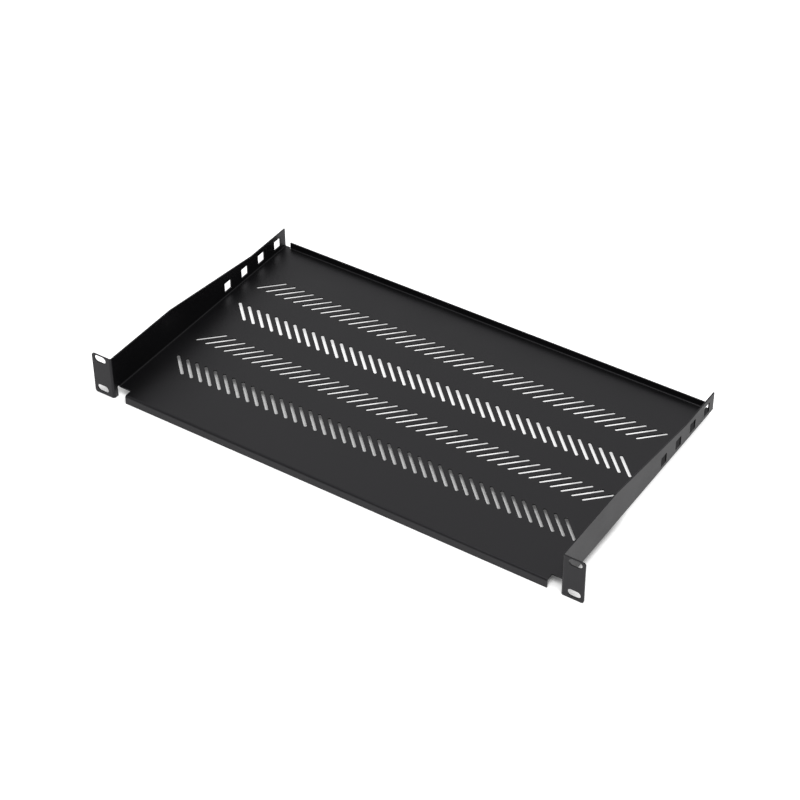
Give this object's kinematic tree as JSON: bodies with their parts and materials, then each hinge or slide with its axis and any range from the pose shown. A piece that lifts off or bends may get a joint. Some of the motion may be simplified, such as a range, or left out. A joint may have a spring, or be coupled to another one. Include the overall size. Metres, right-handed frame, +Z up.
{
  "type": "rack shelf",
  "caption": "Black cantilever shelf for a 19-inch rack: a slotted tray with tapering side walls and slotted bolt-on ears, folded from sheet steel.",
  "frame": {"origin": "midway across the width and the depth, level with the lower edge of the ears and the front lip", "axes": "+X along the width, to the right as seen from the front; +Y from the ears' front face to the rear; +Z up"},
  "size_m": [0.4826, 0.254, 0.042],
  "materials": {
    "powder_coat": "matte black powder coat"
  },
  "bodies": {
    "root": {"shelf": "powder_coat"}
  },
  "joints": []
}
